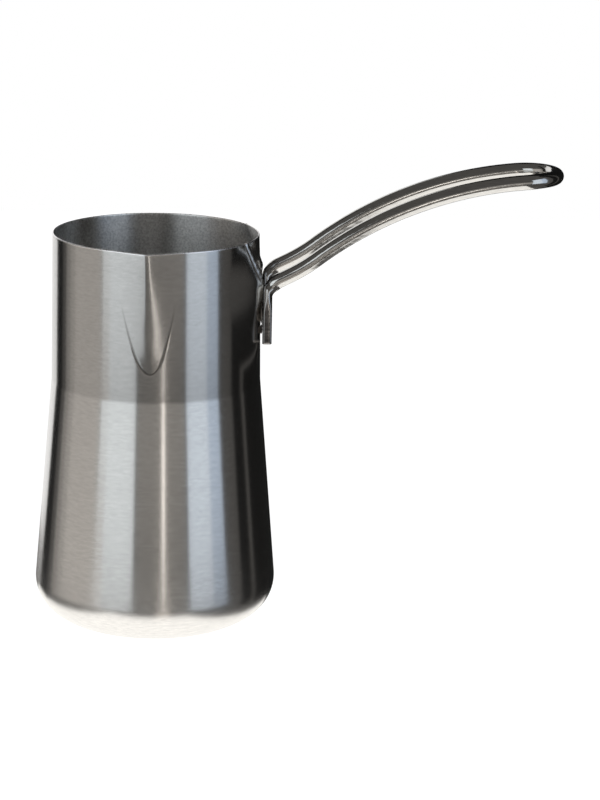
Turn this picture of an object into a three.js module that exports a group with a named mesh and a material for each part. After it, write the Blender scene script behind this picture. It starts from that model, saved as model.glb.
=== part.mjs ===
// A long-handled stovetop coffee pot (a cezve), in millimetres, standing on z = 0.
// The pot's axis is +Z, its handle reaches out along +X and its spout points close to -Y.
// It is a deep-drawn sheet steel body and one round rod, bent into a hairpin and spot-welded on.

import * as THREE from 'three';

// Body: a straight cylinder above the neck, and a cone below it that widens to a round-cornered base.
const RIM_HEIGHT = 134.4;
const RIM_RADIUS = 35;
const NECK_HEIGHT = 84;
const NECK_RADIUS = 35.7;
const BASE_RADIUS = 41.75;
const CORNER_RADIUS = 13;
const SHEET = 0.5;

// Wall facets. The spout's ridge runs along one of their edges.
const WALL_SEGMENTS = 84;
const CORNER_STEPS = 6;
const UPPER_STEPS = 13;

// Spout: two faces pressed outwards, which leave the wall along a U and meet in a ridge, deepest at the rim.
// Flat faces would reach out by SPOUT_REACH at the rim. These are slightly round, so they reach a share of that.
const SPOUT_AZIMUTH = -22 * 2 * Math.PI / WALL_SEGMENTS;
const SPOUT_FOOT = 93.8;
const SPOUT_REACH = 1.95;
const SPOUT_ROUND_SHARE = 0.6;

// Seat: the wall under the handle is pressed from a round to a flat that both legs lie on.
const SEAT_X = 35.2;
const SEAT_HALF_WIDTH = 13.5;
const SEAT_EDGE = 5;
const SEAT_LOW = 100;
const SEAT_HIGH = 124;
const SEAT_FADE = 10;

// Handle rod: two equal sides and a round loop at the far end.
const ROD_DIAMETER = 5;
const ROD_SPACING = 25;
const LEG_GAP = 0.8;
const LEG_FOOT = 99.7;
const LEG_THICKNESS = 3.15;
const LEG_WIDENING = 1.25;
const PRESS_FADE = 2.4;
const ROOT_RADIUS = 5;
const ROOT_SLOPE = THREE.MathUtils.degToRad(27);
const ROOT_HEIGHT = 119.55;
const KINK_X = 50;
const GRIP_RADIUS = 131;
const GRIP_CENTRE_X = 134;
const HANDLE_REACH = 136.6;
const ROD_SIDES = 12;
const ROD_STEPS = 130;

// Spot welds between each leg and the seat.
const WELD_CLEARANCE = 0.1;
const WELD_SIDES = 16;
const WELDS = [
  { level: 'upper', height: 110.5, diameter: 5.4 },
  { level: 'lower', height: 104, diameter: 2.6 },
];

const ROD_RADIUS = ROD_DIAMETER / 2;
const LEG_INNER_X = SEAT_X + LEG_GAP;
const LEG_AXIS_X = LEG_INNER_X + ROD_RADIUS;

const bodySteel = new THREE.MeshStandardMaterial({ color: 0xa3a19c, roughness: 0.38, metalness: 1 });
const rodSteel = new THREE.MeshStandardMaterial({ color: 0xb9b7b0, roughness: 0.12, metalness: 1 });
const weldSteel = new THREE.MeshStandardMaterial({ color: 0x6d6a66, roughness: 0.55, metalness: 1 });

// Points of one face of the body wall, from the axis at the bottom up to the rim.
// inset is how far that face lies inside the outer one.
function wallFace(inset) {
  const corner = new THREE.Vector2(BASE_RADIUS - CORNER_RADIUS, CORNER_RADIUS);
  const neck = new THREE.Vector2(NECK_RADIUS, NECK_HEIGHT);
  const toNeck = neck.clone().sub(corner);
  const coneNormal = toNeck.angle() - Math.acos(CORNER_RADIUS / toNeck.length());
  const radius = CORNER_RADIUS - inset;
  const points = [new THREE.Vector2(0, inset)];
  for (let i = 0; i <= CORNER_STEPS; i++) {
    const angle = THREE.MathUtils.lerp(-Math.PI / 2, coneNormal, i / CORNER_STEPS);
    points.push(new THREE.Vector2(Math.cos(angle), Math.sin(angle)).multiplyScalar(radius).add(corner));
  }
  for (let i = 0; i <= UPPER_STEPS; i++) {
    const share = i / UPPER_STEPS;
    const outer = THREE.MathUtils.lerp(NECK_RADIUS, RIM_RADIUS, share);
    points.push(new THREE.Vector2(outer - inset, THREE.MathUtils.lerp(NECK_HEIGHT, RIM_HEIGHT, share)));
  }
  return points;
}

// How far outwards the spout pushes the wall at an azimuth and a height.
function spoutPush(azimuth, height) {
  const rise = (height - SPOUT_FOOT) / (RIM_HEIGHT - SPOUT_FOOT);
  if (rise <= 0) {
    return 0;
  }
  const turn = Math.atan2(Math.sin(azimuth - SPOUT_AZIMUTH), Math.cos(azimuth - SPOUT_AZIMUTH));
  const facetTurn = Math.acos(RIM_RADIUS / (RIM_RADIUS + SPOUT_REACH * rise));
  const short = Math.max(0, facetTurn - Math.abs(turn));
  return SPOUT_ROUND_SHARE * (RIM_RADIUS / Math.cos(short) - RIM_RADIUS);
}

// How much of the flat seat the wall takes on at a width and a height, from 0 to 1.
function seatShare(y, height) {
  const across = 1 - THREE.MathUtils.smoothstep(Math.abs(y), SEAT_HALF_WIDTH, SEAT_HALF_WIDTH + SEAT_EDGE);
  const below = THREE.MathUtils.smoothstep(height, SEAT_LOW - SEAT_FADE, SEAT_LOW);
  const above = 1 - THREE.MathUtils.smoothstep(height, SEAT_HIGH, SEAT_HIGH + SEAT_FADE);
  return across * below * above;
}

// The round body, then the spout and the seat pressed into it.
function bodyGeometry() {
  const profile = [...wallFace(0), ...wallFace(SHEET).reverse()];
  const geometry = new THREE.LatheGeometry(profile, WALL_SEGMENTS, Math.PI / 2);
  geometry.rotateX(Math.PI / 2);
  const position = geometry.getAttribute('position');
  const point = new THREE.Vector3();
  for (let i = 0; i < position.count; i++) {
    point.fromBufferAttribute(position, i);
    const radius = Math.hypot(point.x, point.y);
    if (point.z <= NECK_HEIGHT || radius < NECK_RADIUS / 2) {
      continue;
    }
    const stretch = 1 + spoutPush(Math.atan2(point.y, point.x), point.z) / radius;
    point.x *= stretch;
    point.y *= stretch;
    if (point.x > 0) {
      const wall = THREE.MathUtils.lerp(NECK_RADIUS, RIM_RADIUS,
        (point.z - NECK_HEIGHT) / (RIM_HEIGHT - NECK_HEIGHT));
      const flat = SEAT_X - Math.max(0, wall - radius);
      point.x = THREE.MathUtils.lerp(point.x, flat, seatShare(point.y, point.z));
    }
    position.setXYZ(i, point.x, point.y, point.z);
  }
  return geometry;
}

// The rod's centre line seen from the side, in X and Z, from the foot of a leg out to the loop's far end.
// A leg, a tight bend, a short straight root, and the long arch of the grip.
function sideLine() {
  const root = new THREE.Vector2(Math.cos(ROOT_SLOPE), Math.sin(ROOT_SLOPE));
  const bendX = LEG_AXIS_X + ROOT_RADIUS;
  const bendZ = ROOT_HEIGHT - ROOT_RADIUS * Math.tan((Math.PI / 2 - ROOT_SLOPE) / 2);
  const kinkZ = ROOT_HEIGHT + (KINK_X - LEG_AXIS_X) * Math.tan(ROOT_SLOPE);
  const kinkAngle = Math.acos((KINK_X - GRIP_CENTRE_X) / GRIP_RADIUS);
  const gripCentreZ = kinkZ - GRIP_RADIUS * Math.sin(kinkAngle);
  const endAngle = Math.acos((HANDLE_REACH - ROD_RADIUS - GRIP_CENTRE_X) / GRIP_RADIUS);
  const line = new THREE.Path();
  line.moveTo(LEG_AXIS_X, LEG_FOOT);
  line.lineTo(LEG_AXIS_X, bendZ);
  line.absarc(bendX, bendZ, ROOT_RADIUS, Math.PI, Math.PI / 2 + ROOT_SLOPE, true);
  line.lineTo(KINK_X - root.x, kinkZ - root.y);
  line.absarc(GRIP_CENTRE_X, gripCentreZ, GRIP_RADIUS, kinkAngle, endAngle, true);
  return line;
}

// The whole rod's centre line: out along the front side, round the loop and back along the rear side.
class HairpinCurve extends THREE.Curve {
  constructor(side) {
    super();
    this.side = side;
    this.loopRadius = ROD_SPACING / 2;
    this.straight = side.getLength() - this.loopRadius;
    this.total = 2 * this.straight + Math.PI * this.loopRadius;
  }

  getPoint(t, target = new THREE.Vector3()) {
    const along = t * this.total;
    const back = this.total - along;
    let out = Math.min(along, back);
    let across = along < back ? -this.loopRadius : this.loopRadius;
    if (out > this.straight) {
      const turn = (along - this.straight) / this.loopRadius;
      out = this.straight + this.loopRadius * Math.sin(turn);
      across = -this.loopRadius * Math.cos(turn);
    }
    const place = this.side.getPointAt(Math.min(1, out / this.side.getLength()));
    return target.set(place.x, across, place.y);
  }
}

// The round rod along its curve, then its two legs pressed flat against the seat.
function rodGeometry() {
  const section = new THREE.Shape();
  section.absarc(0, 0, ROD_RADIUS, 0, 2 * Math.PI, false);
  const geometry = new THREE.ExtrudeGeometry(section, {
    steps: ROD_STEPS,
    curveSegments: ROD_SIDES / 2,
    extrudePath: new HairpinCurve(sideLine()),
  });
  const position = geometry.getAttribute('position');
  const bisector = Math.tan((Math.PI / 2 - ROOT_SLOPE) / 2);
  for (let i = 0; i < position.count; i++) {
    const x = position.getX(i);
    const y = position.getY(i);
    const z = position.getZ(i);
    const pastBend = (z - ROOT_HEIGHT) + (x - LEG_AXIS_X) * bisector;
    const pressed = 1 - THREE.MathUtils.smoothstep(pastBend, -PRESS_FADE, PRESS_FADE / 4);
    const axisY = Math.sign(y) * ROD_SPACING / 2;
    const thin = THREE.MathUtils.lerp(1, LEG_THICKNESS / ROD_DIAMETER, pressed);
    const wide = THREE.MathUtils.lerp(1, LEG_WIDENING, pressed);
    position.setXYZ(i, LEG_INNER_X + (x - LEG_INNER_X) * thin, axisY + (y - axisY) * wide, z);
  }
  return geometry;
}

// A low barrel of weld metal, its axis along +X, that fills the space between the seat and a leg.
function weldGeometry(diameter) {
  const half = LEG_GAP / 2 - WELD_CLEARANCE;
  const outline = [
    new THREE.Vector2(0, -half),
    new THREE.Vector2(diameter / 2 - half / 2, -half),
    new THREE.Vector2(diameter / 2, 0),
    new THREE.Vector2(diameter / 2 - half / 2, half),
    new THREE.Vector2(0, half),
  ];
  const geometry = new THREE.LatheGeometry(outline, WELD_SIDES);
  geometry.rotateZ(-Math.PI / 2);
  return geometry;
}

function namedMesh(name, geometry, material) {
  const mesh = new THREE.Mesh(geometry, material);
  mesh.name = name;
  return mesh;
}

const pot = new THREE.Group();
pot.add(namedMesh('pot_body', bodyGeometry(), bodySteel));
pot.add(namedMesh('handle_rod', rodGeometry(), rodSteel));
for (const [side, direction] of [['front', -1], ['rear', 1]]) {
  for (const { level, height, diameter } of WELDS) {
    const weld = namedMesh(`weld_${side}_${level}`, weldGeometry(diameter), weldSteel);
    weld.position.set(SEAT_X + LEG_GAP / 2, direction * ROD_SPACING / 2, height);
    pot.add(weld);
  }
}

export default pot;
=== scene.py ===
"""A studio picture of a long-handled steel coffee pot (a cezve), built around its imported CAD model.

Lengths are in metres and +Z is up. The pot's axis is +Z, its handle reaches along +X, and its spout points
close to -Y.
"""

import math

import bpy
import numpy as np
from mathutils import Matrix, Vector


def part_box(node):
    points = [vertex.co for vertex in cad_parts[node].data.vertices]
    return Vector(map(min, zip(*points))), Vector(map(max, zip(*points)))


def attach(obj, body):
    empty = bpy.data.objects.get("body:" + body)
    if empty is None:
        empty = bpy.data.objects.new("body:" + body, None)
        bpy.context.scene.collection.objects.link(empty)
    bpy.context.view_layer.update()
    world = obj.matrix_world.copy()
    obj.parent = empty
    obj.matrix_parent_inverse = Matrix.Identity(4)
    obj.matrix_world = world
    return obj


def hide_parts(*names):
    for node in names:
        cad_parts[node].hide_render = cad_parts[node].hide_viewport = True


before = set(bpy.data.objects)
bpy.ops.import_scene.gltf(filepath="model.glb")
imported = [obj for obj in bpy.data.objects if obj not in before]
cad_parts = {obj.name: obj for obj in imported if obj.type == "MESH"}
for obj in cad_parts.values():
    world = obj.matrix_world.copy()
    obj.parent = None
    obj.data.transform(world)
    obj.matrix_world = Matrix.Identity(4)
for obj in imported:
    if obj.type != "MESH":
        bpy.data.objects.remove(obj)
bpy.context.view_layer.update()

MM = 0.001
body_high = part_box("pot_body")[1]
rod_low, rod_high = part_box("handle_rod")

# Body: a straight cylinder above the neck, and a cone below it that widens to a round-cornered base.
# The CAD body's flat facets lie inside a circle of 41.75 mm, so the round base here is a little smaller.
RIM_HEIGHT = body_high.z
RIM_RADIUS = 35 * MM
NECK_HEIGHT = 84 * MM
NECK_RADIUS = 35.7 * MM
NECK_BLEND = 0.7 * MM
BASE_RADIUS = 41.70 * MM
CORNER_RADIUS = 13 * MM
SHEET = 0.5 * MM
EDGE_HEIGHT = 0.42 * MM

# Spout: two nearly flat facets pressed outwards. They touch the wall along a U and meet in a ridge.
# Flat facets would reach SPOUT_REACH past the wall at the rim. These are rounder, so they reach a share of
# that: all of it at the foot, FACET_REACH of it from FOOT_END of the way up, and RIM_GAIN of the rest back at
# the rim.
SPOUT_AZIMUTH = math.radians(-93.4)
SPOUT_LEAN = math.radians(2.0)
SPOUT_FOOT = 93.8 * MM
SPOUT_REACH = 1.95 * MM
FACET_REACH = 0.5
FOOT_END = 0.4
GAIN_START = 0.5
RIM_GAIN = 0.25
RIDGE_ROUNDING = 0.8 * MM
RIDGE_SETBACK = 0.5
RIM_DIP = 0.45 * MM
DIP_START = 0.6
DIP_LEAST_WIDTH = 1 * MM

# The fine groove along the U. It fades out between the shares GROOVE_FADE of the way up the spout, and
# LEAST_RISE keeps the U's slope finite at its foot.
GROOVE_DEPTH = 0.05 * MM
GROOVE_HALF_WIDTH = 0.27 * MM
GROOVE_FADE = (0.2, 0.62)
LEAST_RISE = 0.004

# Seat: the wall under the handle, pressed flat between two corners. Above it each corner runs up to the rim
# as a ridge, with a sharp bead along it.
SEAT_X = 35.2 * MM
SEAT_BULGE = 0.65 * MM
SEAT_BULGE_LOW = 103 * MM
SEAT_BULGE_HIGH = 116 * MM
SEAT_HALF_WIDTH = 13.5 * MM
SEAT_LOW = 100 * MM
SEAT_FADE = 15 * MM
SEAT_TOP = 121 * MM
SEAT_ROUNDING = math.radians(2.0)
SEAT_SETBACK = 0.4
SEAT_BEAD = 0.5 * MM
SEAT_BEAD_HALF_WIDTH = math.radians(1.2)
SEAT_BEAD_LOW = SEAT_TOP - 6 * MM
SEAT_BEAD_HIGH = SEAT_TOP + 2 * MM
SEAT_AZIMUTH = math.atan2(SEAT_HALF_WIDTH, SEAT_X)
RIDGE_TOP_AZIMUTH = math.radians(30.5)
RIM_PULL = 0.3 * MM

# Rows of points up the wall, close together from FINE_BELOW under the spout's foot to FINE_ABOVE over it.
FLOOR_START = 3 * MM
FLOOR_MARGIN = 1 * MM
FINE_BELOW = 1.5 * MM
FINE_ABOVE = 9 * MM
FLOOR_ROWS = 7
CORNER_ROWS = 26
CONE_ROWS = 15
NECK_ROWS = 3
BAND_ROWS = 8
FINE_ROWS = 32
UPPER_ROWS = 50
EDGE_ROWS = 5

# Columns of points round the wall: where their spacing changes, in degrees from the spout and the handle.
SPOUT_BEFORE = 24
SPOUT_AFTER = 27
CORNER_START = 19
CORNER_END = 33
SEAT_END = 48

# Handle rod: two equal sides and a round loop at the far end, with legs pressed thin, wide and square.
ROD_RADIUS = 2.5 * MM
ROD_SPACING = 25 * MM
LEG_INNER_X = rod_low.x
LEG_FOOT = rod_low.z
LEG_THICKNESS = 3.15 * MM
LEG_WIDENING = 1.25
PRESS_FADE = 2.4 * MM
LEG_SQUARENESS = 0.66
SQUARE_BELOW = 6 * MM
SQUARE_FADE = 3 * MM
ROOT_RADIUS = 5 * MM
ROOT_SLOPE = math.radians(27)
ROOT_HEIGHT = 119.55 * MM
KINK_X = 50 * MM
KINK_BLEND = 6 * MM
GRIP_RADIUS = 131 * MM
GRIP_CENTRE_X = 134 * MM
HANDLE_REACH = rod_high.x
LEG_AXIS_X = LEG_INNER_X + ROD_RADIUS
ROD_SIDES = 48
LEG_STEPS = 24
BEND_STEPS = 16
ROOT_STEPS = 9
KINK_STEPS = 14
GRIP_STEPS = 120
LOOP_STEPS = 60
LOOP_GAP = 0.2 * MM

# Welds: lumpy nuggets in the gap between leg and wall, a little longer than the CAD welds.
WELD_ROWS = 20
WELD_COLUMNS = 32
WELD_FULLNESS = 0.7
WELD_REACH = 0.62
WELD_VARIETY = 400
UPPER_WELD_TAIL = 1.2 * MM
WELD_CROWN = 0.4 * MM

# Camera: where it stands round the pot, and which way it looks.
CAMERA_AZIMUTH = math.radians(2)
CAMERA_DISTANCE = 0.7389
CAMERA_HEIGHT = 0.2792
CAMERA_HEADING = math.radians(1.844)
CAMERA_PITCH = math.radians(15.357)
CAMERA_ROLL = math.radians(1.266)
CAMERA_CLIP = 0.01
LENS_MM = 100

# Studio: the height that the lights and cards are aimed at, their distances from the pot's axis, and their
# colours. Azimuths and elevations are in degrees, as the pot sees them.
AIM_HEIGHT = 0.08
BOX_DISTANCE = 1.1
STRIP_DISTANCE = 1.2
ROOM_DISTANCE = 1.3
BACKDROP_DISTANCE = 0.9
CARD_DISTANCE = 0.45
CARD_ELEVATIONS = (-34, 60)
CARD_STEP = 10
CARD_BLACK = (0.02, 0.02, 0.02)
WALL_ELEVATIONS = (-22, 30)
FLOOR_DROP = 0.2 * MM
FLOOR_SIDE = 0.60
FLOOR_FRONT = -0.30
FLOOR_BACK = 0.75
FLOOR_GREY = (0.3, 0.3, 0.3)
TABLE_DEPTH = 0.25
TABLE_X = (-0.40, 0.27)
TABLE_Y = (-0.46, 0.6)
TABLE_RADIANCE = 1.2
ROOM_STRENGTH = 0.09
ROOM_COLOUR = (1.0, 0.96, 0.92)
WHITE = (1, 1, 1)
CREAM = (1, 0.985, 0.955)
WARM = (1, 0.945, 0.885)
AMBER = (1, 0.9, 0.8)
PALE = (0.90, 0.96, 1)
COOL = (0.78, 0.88, 1)
BLUE = (0.66, 0.80, 1)

# Each light's name, azimuths, elevations, distance, radiance and colour. The left softbox is narrower low down,
# where the cylinder mirrors it. The cone mirrors the part above that.
SOFTBOXES = [
    ("softbox_left", (-61, -21), (-10.5, 34), BOX_DISTANCE, 1.0, PALE),
    ("softbox_left_low", (-51.5, -21), (-15, -10.5), BOX_DISTANCE, 1.0, PALE),
    ("wall_left_low", (-62, -51.5), (-22, -10.5), BOX_DISTANCE, 0.46, WARM),
    ("softbox_right", (32, 56), (-15, 38), BOX_DISTANCE, 1.0, COOL),
    ("softbox_edge", (56, 70), (-14.5, 38), BOX_DISTANCE, 0.8, BLUE),
    ("wall_left", (-99, -62), WALL_ELEVATIONS, BOX_DISTANCE, 0.44, WARM),
    ("wall_far", (-107, -99), WALL_ELEVATIONS, BOX_DISTANCE, 0.32, WARM),
    ("wall_end", (-115, -107), WALL_ELEVATIONS, BOX_DISTANCE, 0.2, WARM),
    ("room_low", (-19, 30), (-12, -8), ROOM_DISTANCE, 0.22, WARM),
    ("room_front", (-19, 30), (-8, 12), ROOM_DISTANCE, 0.26, WARM),
    ("room_line", (1, 14), (-38, -18), BOX_DISTANCE, 0.45, AMBER),
    ("strip_camera", (6.1, 9), (-11, -4), STRIP_DISTANCE, 2.9, WARM),
    ("backdrop", (172, 221), (-20, 40), BACKDROP_DISTANCE, 0.9, WHITE),
]

# Each black card's name and azimuths.
CARDS = [
    ("card_right", (87, 101.5)),
    ("card_right_back", (106.5, 172)),
    ("card_left", (-136, -121)),
]


def smoothstep(value, low, high):
    """0 below low and 1 above high, with a smooth change between."""
    share = np.clip((value - low) / (high - low), 0, 1)
    return share * share * (3 - 2 * share)


# --- Camera and studio ---------------------------------------------------------------------------


def add_camera():
    """The camera in front of the pot and a little above it."""
    place = Vector((math.sin(CAMERA_AZIMUTH), -math.cos(CAMERA_AZIMUTH), 0)) * CAMERA_DISTANCE
    place.z = CAMERA_HEIGHT
    level = math.cos(CAMERA_PITCH)
    ahead = (math.sin(CAMERA_HEADING) * level, math.cos(CAMERA_HEADING) * level, -math.sin(CAMERA_PITCH))
    forward = Vector(ahead)
    right = forward.cross(Vector((0, 0, 1))).normalized()
    right.rotate(Matrix.Rotation(-CAMERA_ROLL, 3, forward))
    up = right.cross(forward)
    camera = bpy.data.objects.new("camera", bpy.data.cameras.new("camera"))
    camera.data.lens = LENS_MM
    camera.data.clip_start = CAMERA_CLIP
    camera.matrix_world = Matrix.Translation(place) @ Matrix((right, up, -forward)).transposed().to_4x4()
    bpy.context.scene.collection.objects.link(camera)
    bpy.context.scene.camera = camera


def around_pot(azimuth, distance, height):
    """A point round the pot's axis, at degrees to the right of the camera's side."""
    turn = CAMERA_AZIMUTH + math.radians(azimuth)
    return Vector((math.sin(turn) * distance, -math.cos(turn) * distance, height))


def heights_at(elevations, distance):
    """The heights that the pot sees at these elevations, in degrees, at a distance."""
    return [AIM_HEIGHT + distance * math.tan(math.radians(e)) for e in elevations]


def add_area_light(name, width, height, place, rotation, radiance, colour):
    """A rectangular light of an even radiance, which the camera doesn't see."""
    light = bpy.data.lights.new(name, "AREA")
    light.shape = "RECTANGLE"
    light.size = width
    light.size_y = height
    light.color = colour
    light.energy = radiance * math.pi * light.size * light.size_y
    lamp = bpy.data.objects.new(name, light)
    lamp.location = place
    lamp.rotation_euler = rotation
    lamp.visible_camera = False
    bpy.context.scene.collection.objects.link(lamp)


def add_softbox(name, azimuths, elevations, distance, radiance, colour):
    """An upright light that fills these ranges of azimuth and elevation and faces the pot's axis."""
    low, high = heights_at(elevations, distance)
    place = around_pot(sum(azimuths) / 2, distance, (low + high) / 2)
    rotation = (Vector((0, 0, place.z)) - place).to_track_quat("-Z", "Y").to_euler()
    width = 2 * distance * math.tan(math.radians(azimuths[1] - azimuths[0]) / 2)
    add_area_light(name, width, high - low, place, rotation, radiance, colour)


def add_table_glow():
    """A white table well below the pot, which lights it from underneath."""
    place = (sum(TABLE_X) / 2, sum(TABLE_Y) / 2, -TABLE_DEPTH)
    width, depth = TABLE_X[1] - TABLE_X[0], TABLE_Y[1] - TABLE_Y[0]
    add_area_light("table_glow", width, depth, place, (math.pi, 0, 0), TABLE_RADIANCE, CREAM)


def flat_material(name, base, glow):
    """A matt surface that may also shine by itself."""
    material = bpy.data.materials.new(name)
    material.use_nodes = True
    shader = material.node_tree.nodes["Principled BSDF"]
    shader.inputs["Base Color"].default_value = (*base, 1)
    shader.inputs["Roughness"].default_value = 1
    shader.inputs["Specular IOR Level"].default_value = 0
    shader.inputs["Emission Color"].default_value = (*glow, 1)
    shader.inputs["Emission Strength"].default_value = 1
    return material


def add_card(name, azimuths):
    """A black card curved round the pot. It shows only in reflections, and casts no shadow."""
    low, high = heights_at(CARD_ELEVATIONS, CARD_DISTANCE)
    steps = max(2, round((azimuths[1] - azimuths[0]) / CARD_STEP) + 1)
    points, faces = [], []
    for azimuth in np.linspace(*azimuths, steps):
        points += [around_pot(azimuth, CARD_DISTANCE, low), around_pot(azimuth, CARD_DISTANCE, high)]
    for i in range(steps - 1):
        faces.append((2 * i, 2 * i + 2, 2 * i + 3, 2 * i + 1))
    mesh = bpy.data.meshes.new(name)
    mesh.from_pydata(points, [], faces)
    mesh.materials.append(flat_material(name, CARD_BLACK, (0, 0, 0)))
    card = bpy.data.objects.new(name, mesh)
    card.visible_camera = False
    card.visible_diffuse = False
    card.visible_shadow = False
    bpy.context.scene.collection.objects.link(card)


def add_world():
    """A dim room for everything but the camera, which sees plain white behind the object."""
    world = bpy.data.worlds.new("studio")
    world.use_nodes = True
    bpy.context.scene.world = world
    nodes, links = world.node_tree.nodes, world.node_tree.links
    nodes.clear()
    room = nodes.new("ShaderNodeBackground")
    room.inputs["Color"].default_value = (*ROOM_COLOUR, 1)
    room.inputs["Strength"].default_value = ROOM_STRENGTH
    white = nodes.new("ShaderNodeBackground")
    white.inputs["Color"].default_value = (*WHITE, 1)
    mix = nodes.new("ShaderNodeMixShader")
    path = nodes.new("ShaderNodeLightPath")
    output = nodes.new("ShaderNodeOutputWorld")
    links.new(path.outputs["Is Camera Ray"], mix.inputs["Fac"])
    links.new(room.outputs[0], mix.inputs[1])
    links.new(white.outputs[0], mix.inputs[2])
    links.new(mix.outputs[0], output.inputs["Surface"])


def add_floor():
    """The plain white floor. The steel doesn't mirror it: it mirrors the lit table further down instead."""
    corners = [
        (-FLOOR_SIDE, FLOOR_FRONT),
        (FLOOR_SIDE, FLOOR_FRONT),
        (FLOOR_SIDE, FLOOR_BACK),
        (-FLOOR_SIDE, FLOOR_BACK),
    ]
    mesh = bpy.data.meshes.new("floor")
    mesh.from_pydata([(x, y, -FLOOR_DROP) for x, y in corners], [], [(0, 1, 2, 3)])
    mesh.materials.append(flat_material("floor", FLOOR_GREY, WHITE))
    floor = bpy.data.objects.new("floor", mesh)
    floor.visible_glossy = False
    floor.visible_diffuse = False
    floor.visible_shadow = False
    bpy.context.scene.collection.objects.link(floor)


def add_studio():
    """The camera, and everything round the pot that lights it or that its steel mirrors."""
    add_camera()
    add_world()
    add_floor()
    add_table_glow()
    for softbox in SOFTBOXES:
        add_softbox(*softbox)
    for name, azimuths in CARDS:
        add_card(name, azimuths)
    bpy.context.scene.view_settings.view_transform = "Standard"


# --- Mesh helpers --------------------------------------------------------------------------------


def mesh_object(name, points, faces):
    """A smooth-shaded object in the scene."""
    mesh = bpy.data.meshes.new(name)
    mesh.from_pydata([tuple(p) for p in points], [], faces)
    mesh.polygons.foreach_set("use_smooth", [True] * len(mesh.polygons))
    mesh.update()
    piece = bpy.data.objects.new(name, mesh)
    bpy.context.scene.collection.objects.link(piece)
    return piece


def paint(piece, name, values):
    """Stores one number for each vertex, which a material reads by its name."""
    attribute = piece.data.attributes.new(name, "FLOAT", "POINT")
    attribute.data.foreach_set("value", np.asarray(values, np.float32))


def grid_faces(rows, columns):
    """Quads between rows of points, each row a closed ring of columns points."""
    faces = []
    for i in range(rows - 1):
        for j in range(columns):
            k = (j + 1) % columns
            faces.append((i * columns + j, i * columns + k, (i + 1) * columns + k, (i + 1) * columns + j))
    return faces


def unit_rows(ways):
    """Each row of vectors at length 1."""
    return ways / np.linalg.norm(ways, axis=1)[:, None]


def rounded_corner(start, corner, end, share):
    """Points on the curve that leaves start towards the corner and arrives at end."""
    return (1 - share) ** 2 * start + 2 * share * (1 - share) * corner + share**2 * end


def place_piece(piece, nodes, material):
    """Gives a piece its finish, and lets it stand for its CAD nodes on the one rigid body."""
    piece.data.materials.append(material)
    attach(piece, "root")
    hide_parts(*nodes)


# --- Body ----------------------------------------------------------------------------------------


def wall_outline():
    """(radius, height) up the outer face, from just off the axis at the bottom to just under the rim."""
    corner = np.array([BASE_RADIUS - CORNER_RADIUS, CORNER_RADIUS])
    neck = np.array([NECK_RADIUS, NECK_HEIGHT])
    reach = neck - corner
    cone_normal = math.atan2(reach[1], reach[0]) - math.acos(CORNER_RADIUS / np.linalg.norm(reach))
    rows = [(r, 0.0) for r in np.linspace(FLOOR_START, corner[0] - FLOOR_MARGIN, FLOOR_ROWS)]
    for angle in np.linspace(-math.pi / 2, cone_normal, CORNER_ROWS):
        rows.append(corner + CORNER_RADIUS * np.array([math.cos(angle), math.sin(angle)]))
    foot = rows[-1]
    cone_way = (foot - neck) / np.linalg.norm(foot - neck)
    top = np.array([RIM_RADIUS, RIM_HEIGHT])
    wall_way = (top - neck) / np.linalg.norm(top - neck)
    cone_end = neck + cone_way * NECK_BLEND
    wall_start = neck + wall_way * NECK_BLEND
    for share in np.linspace(0, 1, CONE_ROWS + 1)[1:]:
        rows.append(foot + (cone_end - foot) * share)
    for share in np.linspace(0, 1, NECK_ROWS + 2)[1:-1]:
        rows.append(rounded_corner(cone_end, neck, wall_start, share))
    fine_start = neck + wall_way * (SPOUT_FOOT - FINE_BELOW - NECK_HEIGHT)
    fine_end = neck + wall_way * (SPOUT_FOOT + FINE_ABOVE - NECK_HEIGHT)
    edge = top - wall_way * EDGE_HEIGHT
    stretches = [
        (wall_start, fine_start, BAND_ROWS),
        (fine_start, fine_end, FINE_ROWS),
        (fine_end, edge, UPPER_ROWS),
    ]
    for start, end, count in stretches:
        for share in np.linspace(0, 1, count + 1)[:-1]:
            rows.append(start + (end - start) * share)
    rows.append(edge)
    return np.array(rows)


def wall_rows():
    """Rows of the whole sheet: up the outer face, over the rounded cut edge and down the inner face."""
    outer = wall_outline()
    way = unit_rows(np.gradient(outer, axis=0))
    inward = np.stack([-way[:, 1], way[:, 0]], axis=1)
    inner = outer + inward * SHEET
    middle = (outer[-1] + inner[-1]) / 2
    turn = np.linspace(0, math.pi, EDGE_ROWS + 2)[1:-1]
    edge = middle + np.stack([SHEET / 2 * np.cos(turn), EDGE_HEIGHT * np.sin(turn)], axis=1)
    return np.concatenate([outer, edge, inner[::-1]])


def wall_azimuths():
    """Angles round the wall, close together at the spout and over the seat's corners."""
    spout = math.degrees(SPOUT_AZIMUTH)
    stretches = [  # from, to, columns
        (spout - SPOUT_BEFORE, spout + SPOUT_AFTER, 104),
        (spout + SPOUT_AFTER, -SEAT_END, 9),
        (-SEAT_END, -CORNER_END, 12),
        (-CORNER_END, -CORNER_START, 40),
        (-CORNER_START, CORNER_START, 26),
        (CORNER_START, CORNER_END, 40),
        (CORNER_END, SEAT_END, 12),
        (SEAT_END, 360 + spout - SPOUT_BEFORE, 68),
    ]
    angles = [np.linspace(low, high, count, endpoint=False) for low, high, count in stretches]
    return np.radians(np.concatenate(angles))


def half_turn(angle):
    """The same direction as an angle between -180 and 180 degrees, in radians."""
    return np.arctan2(np.sin(angle), np.cos(angle))


def spout_rise(height):
    """0 at the spout's foot and below it, and 1 at the rim."""
    return np.clip((height - SPOUT_FOOT) / (RIM_HEIGHT - SPOUT_FOOT), 0, 1)


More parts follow.
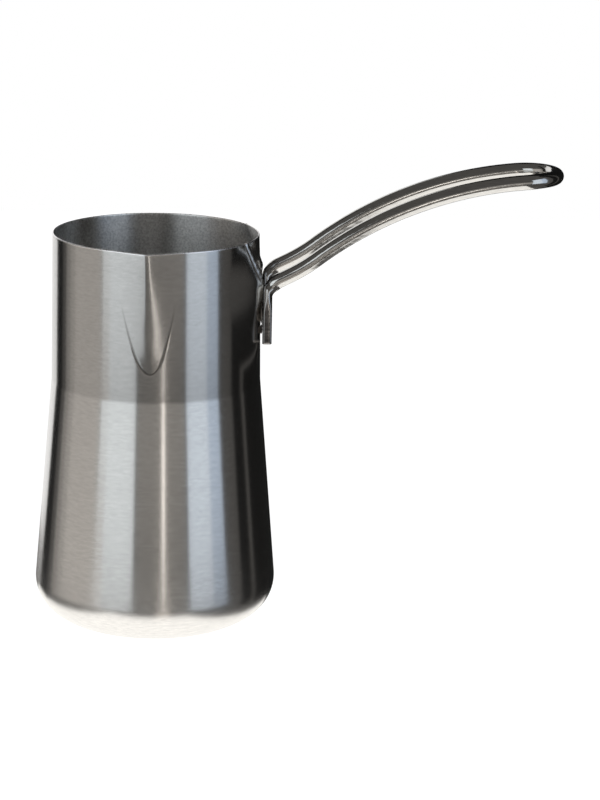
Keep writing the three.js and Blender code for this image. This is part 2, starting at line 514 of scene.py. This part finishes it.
def spout_across(azimuth, height):
    """Distance along the wall from the spout's ridge, which leans a little."""
    return half_turn(azimuth - SPOUT_AZIMUTH - SPOUT_LEAN * (1 - spout_rise(height))) * RIM_RADIUS


def spout_outline(radius, height):
    """Half the spout's width, where flat facets touch the round wall."""
    return radius * np.arccos(radius / (radius + SPOUT_REACH * spout_rise(height)))


def groove_share(azimuth, height, radius):
    """1 in the fine groove that the punch left along the U, and 0 away from it."""
    rise = spout_rise(height)
    away = np.abs(spout_across(azimuth, height)) - spout_outline(radius, height)
    widening = math.sqrt(RIM_RADIUS * SPOUT_REACH / 2) / (RIM_HEIGHT - SPOUT_FOOT)
    distance = away / np.hypot(1, widening / np.sqrt(np.maximum(rise, LEAST_RISE)))
    below = np.hypot(np.minimum(height - SPOUT_FOOT, 0), distance)
    return np.exp(-((below / GROOVE_HALF_WIDTH) ** 2)) * (1 - smoothstep(rise, *GROOVE_FADE))


def spout_push(azimuth, height, radius):
    """How far the facets stand out from the wall."""
    rise = spout_rise(height)
    across = np.hypot(spout_across(azimuth, height), RIDGE_ROUNDING) - RIDGE_ROUNDING * RIDGE_SETBACK
    outline = spout_outline(radius, height)
    flat = radius / np.cos(np.clip((outline - across) / radius, 0, None)) - radius
    extra = RIM_GAIN * smoothstep(rise, GAIN_START, 1) + 1 - smoothstep(rise, 0, FOOT_END)
    return flat * (FACET_REACH + (1 - FACET_REACH) * extra)


def spout_dip(azimuth, height, radius):
    """How much of the rim's dip a point takes: all of it at the ridge's top, and none outside the spout."""
    width = np.maximum(spout_outline(radius, height), DIP_LEAST_WIDTH)
    near = 1 - np.abs(spout_across(azimuth, height)) / width
    return np.clip(near, 0, 1) * smoothstep(spout_rise(height), DIP_START, 1)


def seat_climb(height):
    """0 at the seat's top and below it, and 1 at the rim."""
    return np.clip((height - SEAT_TOP) / (RIM_HEIGHT - SEAT_TOP), 0, 1)


def seat_corner(height):
    """The azimuth of the seat's corner, upright beside the seat and spreading above it."""
    return SEAT_AZIMUTH + (RIDGE_TOP_AZIMUTH - SEAT_AZIMUTH) * seat_climb(height)


def press_seat(azimuth, height, radius):
    """The wall's radius with the seat pressed in: two corners with flats between them and beside them."""
    flat_x = SEAT_X + SEAT_BULGE * smoothstep(height, SEAT_BULGE_LOW, SEAT_BULGE_HIGH)
    reach = flat_x / math.cos(SEAT_AZIMUTH) - radius
    reach = reach * smoothstep(height, SEAT_LOW - SEAT_FADE, SEAT_LOW) * (1 - seat_climb(height))
    corner = radius + np.maximum(reach, 0)
    corner_azimuth = seat_corner(height)
    turn = np.abs(half_turn(azimuth))
    past = np.hypot(turn - corner_azimuth, SEAT_ROUNDING) - SEAT_ROUNDING * SEAT_SETBACK
    pushed = radius / np.cos(np.clip(np.arccos(radius / corner) - past, 0, None))
    flat = corner * np.cos(corner_azimuth) / np.cos(np.minimum(turn, corner_azimuth))
    between = (turn < corner_azimuth) & (flat > radius)
    pushed = np.where(between, np.minimum(np.maximum(pushed, flat), corner), pushed)
    middle = np.clip(1 - (turn / RIDGE_TOP_AZIMUTH) ** 2, 0, 1)
    return pushed - RIM_PULL * middle * smoothstep(height, SEAT_TOP, RIM_HEIGHT)


def seat_bead(azimuth, height):
    """How far the sharp bead along each corner above the seat stands out."""
    away = np.abs(half_turn(azimuth)) - seat_corner(height)
    bead = SEAT_BEAD * np.exp(-((away / SEAT_BEAD_HALF_WIDTH) ** 2))
    return bead * smoothstep(height, SEAT_BEAD_LOW, SEAT_BEAD_HIGH)


def press_sheet(rows, angles):
    """The sheet's points with the spout and the seat pressed in, and the groove's painted shade at each.

    The groove is pressed into both faces. Its painted shade and the seat's bead are on the outer face only.
    """
    radius, azimuth = np.meshgrid(rows[:, 0], angles, indexing="ij")
    height = np.meshgrid(rows[:, 1], angles, indexing="ij")[0]
    is_wall = height > NECK_HEIGHT
    face = NECK_RADIUS + (RIM_RADIUS - NECK_RADIUS) * (height - NECK_HEIGHT) / (RIM_HEIGHT - NECK_HEIGHT)
    depth = face - radius
    outside = is_wall & (depth < SHEET / 4)
    groove = groove_share(azimuth, height, face)
    pressed = spout_push(azimuth, height, face) - GROOVE_DEPTH * groove + press_seat(azimuth, height, face)
    pressed = pressed + np.where(outside, seat_bead(azimuth, height), 0)
    lowered = height - RIM_DIP * spout_dip(azimuth, height, face)
    radius = np.where(is_wall, pressed - depth, radius)
    height = np.where(is_wall, lowered, height)
    points = np.stack([radius * np.cos(azimuth), radius * np.sin(azimuth), height], axis=-1)
    return points.reshape(-1, 3), np.where(outside, groove, 0).reshape(-1)


def build_body():
    """The sheet, closed by a fan of triangles at the axis on each face of the bottom."""
    rows, angles = wall_rows(), wall_azimuths()
    points, groove = press_sheet(rows, angles)
    count, columns = len(rows), len(angles)
    faces = grid_faces(count, columns)
    bottom, inside = len(points), len(points) + 1
    points = np.concatenate([points, [(0, 0, 0), (0, 0, SHEET)]])
    last = (count - 1) * columns
    for j in range(columns):
        k = (j + 1) % columns
        faces.append((bottom, k, j))
        faces.append((inside, last + j, last + k))
    piece = mesh_object("body_shell", points, faces)
    # The groove's share on the outer face, which the steel reads to paint shade into the groove.
    paint(piece, "groove", np.concatenate([groove, [0, 0]]))
    outer_rows = len(wall_outline())
    # The finishes are 0 on the outer face, 1 on the cut edge, and 2 on the inner face and both fans.
    for i, polygon in enumerate(piece.data.polygons):
        row = min(i // columns, count - 2)
        polygon.material_index = int(row >= outer_rows - 1) + int(row >= outer_rows + EDGE_ROWS)
    return piece


# --- Handle --------------------------------------------------------------------------------------


def arc(centre, radius, angles):
    """Points on a circle in the plane."""
    return centre + radius * np.stack([np.cos(angles), np.sin(angles)], axis=1)


def side_line():
    """The rod's centre line seen from the side, as closely spaced (x, z) points out to the loop's far end."""
    tangent = ROOT_RADIUS * math.tan((math.pi / 2 - ROOT_SLOPE) / 2)
    bend = np.array([LEG_AXIS_X + ROOT_RADIUS, ROOT_HEIGHT - tangent])
    kink = np.array([KINK_X, ROOT_HEIGHT + (KINK_X - LEG_AXIS_X) * math.tan(ROOT_SLOPE)])
    kink_angle = math.acos((KINK_X - GRIP_CENTRE_X) / GRIP_RADIUS)
    centre = np.array([GRIP_CENTRE_X, kink[1] - GRIP_RADIUS * math.sin(kink_angle)])
    blend_angle = kink_angle - KINK_BLEND / GRIP_RADIUS
    end_angle = math.acos((HANDLE_REACH - ROD_RADIUS - GRIP_CENTRE_X) / GRIP_RADIUS)
    root = np.array([math.cos(ROOT_SLOPE), math.sin(ROOT_SLOPE)])
    leg_heights = np.linspace(LEG_FOOT, bend[1], LEG_STEPS, endpoint=False)
    leg = np.stack([np.full(LEG_STEPS, LEG_AXIS_X), leg_heights], axis=1)
    turn = arc(bend, ROOT_RADIUS, np.linspace(math.pi, math.pi / 2 + ROOT_SLOPE, BEND_STEPS))
    grip = arc(centre, GRIP_RADIUS, np.linspace(blend_angle, end_angle, GRIP_STEPS))
    kink_start = kink - root * KINK_BLEND
    straight = turn[-1] + (kink_start - turn[-1]) * np.linspace(0, 1, ROOT_STEPS + 1)[1:, None]
    rounded = rounded_corner(kink_start, kink, grip[0], np.linspace(0, 1, KINK_STEPS + 2)[1:-1, None])
    return np.concatenate([leg, turn, straight, rounded, grip])


def hairpin_line():
    """The whole rod's centre line, from the front leg's foot round the loop to the rear leg's foot."""
    side = side_line()
    along = np.concatenate([[0], np.cumsum(np.linalg.norm(np.diff(side, axis=0), axis=1))])
    loop = ROD_SPACING / 2
    straight = along[-1] - loop
    turn = np.linspace(0, math.pi, LOOP_STEPS + 1)
    reach = straight + loop * np.sin(turn)
    loop_x = np.interp(reach, along, side[:, 0])
    loop_z = np.interp(reach, along, side[:, 1])
    loop_line = np.stack([loop_x, -loop * np.cos(turn), loop_z], axis=1)
    kept = side[along < straight - LOOP_GAP]
    front = np.stack([kept[:, 0], np.full(len(kept), -loop), kept[:, 1]], axis=1)
    rear = front[::-1] * np.array([1, -1, 1])
    return np.concatenate([front, loop_line, rear])


def squared(shares, power):
    """A circle's cosines or sines, raised to a power that makes the circle squarer when it is below 1."""
    return np.sign(shares) * np.abs(shares) ** power


def rod_rings(line):
    """Rings of points across the rod, round along most of it and squarer down the legs."""
    turn = np.linspace(0, 2 * math.pi, ROD_SIDES, endpoint=False)
    across = np.array([-1.0, 0.0, 0.0])
    rings = []
    for centre, way in zip(line, unit_rows(np.gradient(line, axis=0))):
        across = across - way * np.dot(across, way)
        across /= np.linalg.norm(across)
        up = np.cross(way, across)
        down = ROOT_HEIGHT - SQUARE_BELOW - centre[2]
        power = 1 - LEG_SQUARENESS * smoothstep(down, -SQUARE_FADE, SQUARE_FADE)
        wide = squared(np.cos(turn), power)[:, None]
        high = squared(np.sin(turn), power)[:, None]
        rings.append(centre + ROD_RADIUS * (wide * across + high * up))
    return np.array(rings)


def press_legs(points):
    """Presses both legs thinner and wider, up to the line that halves the bend above them."""
    bisector = math.tan((math.pi / 2 - ROOT_SLOPE) / 2)
    past_bend = (points[..., 2] - ROOT_HEIGHT) + (points[..., 0] - LEG_AXIS_X) * bisector
    pressed = 1 - smoothstep(past_bend, -PRESS_FADE, PRESS_FADE / 4)
    axis_y = np.sign(points[..., 1]) * ROD_SPACING / 2
    thinning = 1 + (LEG_THICKNESS / (2 * ROD_RADIUS) - 1) * pressed
    widening = 1 + (LEG_WIDENING - 1) * pressed
    points[..., 0] = LEG_INNER_X + (points[..., 0] - LEG_INNER_X) * thinning
    points[..., 1] = axis_y + (points[..., 1] - axis_y) * widening


def build_rod():
    """The round rod with its two pressed legs and its two cut ends."""
    line = hairpin_line()
    points = rod_rings(line)
    press_legs(points)
    faces = [tuple(reversed(f)) for f in grid_faces(len(line), ROD_SIDES)]
    faces.append(tuple(range(ROD_SIDES)))
    faces.append(tuple(reversed(range((len(line) - 1) * ROD_SIDES, len(line) * ROD_SIDES))))
    return mesh_object("handle", points.reshape(-1, 3), faces)


# --- Welds ---------------------------------------------------------------------------------------


def weld_lump(turn, tilt, seed):
    """How far out a nugget's surface is, around 1. The seed makes nuggets at different heights differ."""
    return 1 + 0.07 * math.sin(3 * turn + 5 * tilt + seed) + 0.05 * math.sin(7 * turn - 4 * tilt)


def build_weld(name, node, stretch_down, stretch_up):
    """A lumpy nugget that joins a leg to the seat. It bulges out round the edge of its CAD weld."""
    low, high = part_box(node)
    middle = (low + high) / 2
    size = high - low
    points = []
    for i in range(WELD_ROWS + 1):
        tilt = math.pi * i / WELD_ROWS
        for j in range(WELD_COLUMNS):
            turn = 2 * math.pi * j / WELD_COLUMNS
            across = math.sin(tilt) ** WELD_FULLNESS * weld_lump(turn, tilt, WELD_VARIETY * low.z)
            rise = math.sin(turn) * across
            reach = size.z / 2 + (stretch_up if rise > 0 else stretch_down)
            x = middle.x - math.cos(tilt) * size.x * WELD_REACH
            y = middle.y + math.cos(turn) * across * size.y / 2
            points.append((x, y, middle.z + rise * reach))
    return mesh_object(name, points, grid_faces(WELD_ROWS + 1, WELD_COLUMNS))


# --- Materials -----------------------------------------------------------------------------------

# Most of a noise's values lie between these.
NOISE_SPAN = (0.3, 0.7)
BLACK = (0, 0, 0)


class Finish:
    """A metal with a node tree, and short ways to add the nodes that wear and grain need."""

    def __init__(self, name):
        self.material = bpy.data.materials.new(name)
        self.material.use_nodes = True
        self.nodes = self.material.node_tree.nodes
        self.links = self.material.node_tree.links
        self.shader = self.nodes["Principled BSDF"]
        self.shader.inputs["Metallic"].default_value = 1
        self.place = self.nodes.new("ShaderNodeTexCoord").outputs["Object"]

    def join(self, value, socket):
        """Gives a socket a number, a colour, a vector or another node's output."""
        if isinstance(value, (int, float)):
            socket.default_value = value
        elif isinstance(value, tuple):
            socket.default_value = (*value, 1) if len(socket.default_value) == 4 else value
        else:
            self.links.new(value, socket)

    def set_colour(self, value):
        self.join(value, self.shader.inputs["Base Color"])

    def set_roughness(self, value):
        self.join(value, self.shader.inputs["Roughness"])

    def math(self, operation, *values):
        """Two or more values added or multiplied together."""
        total = values[0]
        for value in values[1:]:
            node = self.nodes.new("ShaderNodeMath")
            node.operation = operation
            self.join(total, node.inputs[0])
            self.join(value, node.inputs[1])
            total = node.outputs[0]
        return total

    def vector_math(self, operation, *vectors):
        node = self.nodes.new("ShaderNodeVectorMath")
        node.operation = operation
        for socket, vector in zip(node.inputs, vectors):
            self.join(vector, socket)
        return node.outputs[0]

    def stretched(self, scale):
        """The point on the piece, scaled by an amount for each axis, so that noise on it runs in streaks."""
        return self.vector_math("MULTIPLY", self.place, scale)

    def round_axis(self, around, up):
        """A point on which noise runs in streaks round the pot's axis.

        The amounts scale the direction round the axis and the height.
        """
        direction = self.vector_math("NORMALIZE", self.stretched((1, 1, 0)))
        ring = self.vector_math("MULTIPLY", direction, (around, around, around))
        return self.vector_math("ADD", ring, self.stretched((0, 0, up)))

    def noise(self, vector, detail, roughness):
        node = self.nodes.new("ShaderNodeTexNoise")
        node.inputs["Scale"].default_value = 1
        node.inputs["Detail"].default_value = detail
        node.inputs["Roughness"].default_value = roughness
        self.join(vector, node.inputs["Vector"])
        return node.outputs["Fac"]

    def spread(self, value, low, high, span=NOISE_SPAN):
        """The span of a value mapped onto low to high, and clamped."""
        node = self.nodes.new("ShaderNodeMapRange")
        node.inputs["From Min"].default_value = span[0]
        node.inputs["From Max"].default_value = span[1]
        node.inputs["To Min"].default_value = low
        node.inputs["To Max"].default_value = high
        self.join(value, node.inputs["Value"])
        return node.outputs["Result"]

    def blend(self, factor, at_zero, at_one):
        """A colour between two others. The factor is clamped to 0 to 1."""
        node = self.nodes.new("ShaderNodeMix")
        node.data_type = "RGBA"
        self.join(factor, node.inputs[0])
        self.join(at_zero, node.inputs[6])
        self.join(at_one, node.inputs[7])
        return node.outputs[2]

    def attribute(self, name):
        node = self.nodes.new("ShaderNodeAttribute")
        node.attribute_name = name
        return node.outputs["Fac"]

    def height(self):
        node = self.nodes.new("ShaderNodeSeparateXYZ")
        self.join(self.place, node.inputs[0])
        return node.outputs["Z"]

    def emboss(self, value, depth):
        node = self.nodes.new("ShaderNodeBump")
        node.inputs["Distance"].default_value = depth
        node.inputs["Strength"].default_value = 1
        self.join(value, node.inputs["Height"])
        self.join(node.outputs["Normal"], self.shader.inputs["Normal"])

    def brush_round_axis(self, anisotropic):
        """Fine brushing round the axis, which draws each highlight out up and down."""
        tangent = self.nodes.new("ShaderNodeTangent")
        tangent.direction_type = "RADIAL"
        tangent.axis = "Z"
        self.join(tangent.outputs[0], self.shader.inputs["Tangent"])
        self.shader.inputs["Anisotropic"].default_value = anisotropic
        self.shader.inputs["Anisotropic Rotation"].default_value = 0.25


def brushed_steel():
    """Fine brushing round the pot. It is darker above the neck, and paler and duller towards the base."""
    finish = Finish("brushed_steel")
    finish.brush_round_axis(0.72)
    height = finish.height()
    grain = finish.noise(finish.round_axis(14, 1500), 3.0, 0.65)
    bands = finish.noise(finish.round_axis(0.5, 240), 2.0, 0.5)
    tone = finish.math(
        "MULTIPLY",
        finish.spread(grain, 0.93, 1.06),
        finish.spread(height, 0.8, 0.68, (NECK_HEIGHT - 0.5 * MM, NECK_HEIGHT + 0.8 * MM)),
        finish.spread(height, 1.15, 0.98, (CORNER_RADIUS, NECK_HEIGHT)),
        finish.spread(bands, 0.985, 1.01),
    )
    steel = finish.blend(tone, BLACK, (0.84, 0.825, 0.80))
    # Painted shade: the colour darkens along the spout's groove, standing in for the shade in the crease.
    painted_groove_shade = finish.math("MULTIPLY", finish.attribute("groove"), 0.85)
    finish.set_colour(finish.blend(painted_groove_shade, steel, (0.10, 0.09, 0.08)))
    dullness = finish.spread(height, 0.065, 0, (8 * MM, 32 * MM))
    finish.set_roughness(finish.math("ADD", finish.spread(grain, 0.18, 0.2), dullness))
    return finish.material


def rim_steel():
    """The sheet's cut edge, ground smooth."""
    finish = Finish("rim_steel")
    grain = finish.noise(finish.stretched((900, 900, 900)), 3.0, 0.6)
    finish.set_colour(finish.blend(finish.spread(grain, 0, 1), (0.9, 0.89, 0.88), (1, 0.99, 0.98)))
    finish.set_roughness(finish.spread(grain, 0.25, 0.33))
    return finish.material


def inner_steel():
    """The inside: coarser brushing, with a mottled look."""
    finish = Finish("inner_steel")
    finish.brush_round_axis(0.95)
    spots = finish.noise(finish.stretched((1300, 1300, 1300)), 4.0, 0.7)
    grain = finish.noise(finish.round_axis(2.0, 1800), 3.0, 0.6)
    mottling = finish.spread(spots, 0.72, 1.0, (0.4, 0.6))
    tone = finish.math("MULTIPLY", mottling, finish.spread(grain, 0.94, 1.0))
    finish.set_colour(finish.blend(tone, BLACK, (1, 0.995, 0.98)))
    finish.set_roughness(finish.spread(spots, 0.3, 0.38))
    finish.emboss(spots, 0.04 * MM)
    return finish.material


def polished_steel():
    """Drawn rod with a rough polish: shallow waves and fine marks. The legs are darkened by the heat."""
    finish = Finish("polished_steel")
    waves = finish.noise(finish.stretched((120, 420, 420)), 1.0, 0.5)
    marks = finish.noise(finish.stretched((260, 2600, 2600)), 3.0, 0.6)
    rod = finish.blend(finish.spread(marks, 0, 1), (0.56, 0.55, 0.53), (0.72, 0.71, 0.685))
    heat = finish.spread(finish.height(), 1, 0, (ROOT_HEIGHT - 7 * MM, ROOT_HEIGHT - 1 * MM))
    finish.set_colour(finish.blend(heat, rod, (0.24, 0.23, 0.225)))
    finish.set_roughness(finish.spread(marks, 0.07, 0.16))
    finish.emboss(waves, 0.04 * MM)
    return finish.material


def weld_metal():
    """Spot-weld metal, darkened and tinted by the heat."""
    finish = Finish("weld_metal")
    lumps = finish.noise(finish.stretched((900, 900, 900)), 4.0, 0.65)
    tint = finish.spread(lumps, 0, 1, (0.35, 0.65))
    finish.set_colour(finish.blend(tint, (0.07, 0.06, 0.055), (0.30, 0.27, 0.24)))
    finish.set_roughness(finish.spread(lumps, 0.3, 0.6))
    finish.emboss(lumps, 0.15 * MM)
    return finish.material


# --- The scene -----------------------------------------------------------------------------------

add_studio()
body = build_body()
place_piece(body, ["pot_body"], brushed_steel())
body.data.materials.append(rim_steel())
body.data.materials.append(inner_steel())
place_piece(build_rod(), ["handle_rod"], polished_steel())
weld_finish = weld_metal()
for side in ("front", "rear"):
    for end, tail in (("upper", UPPER_WELD_TAIL), ("lower", 0)):
        node = f"weld_{side}_{end}"
        nugget = build_weld(f"nugget_{side}_{end}", node, tail, WELD_CROWN)
        place_piece(nugget, [node], weld_finish)
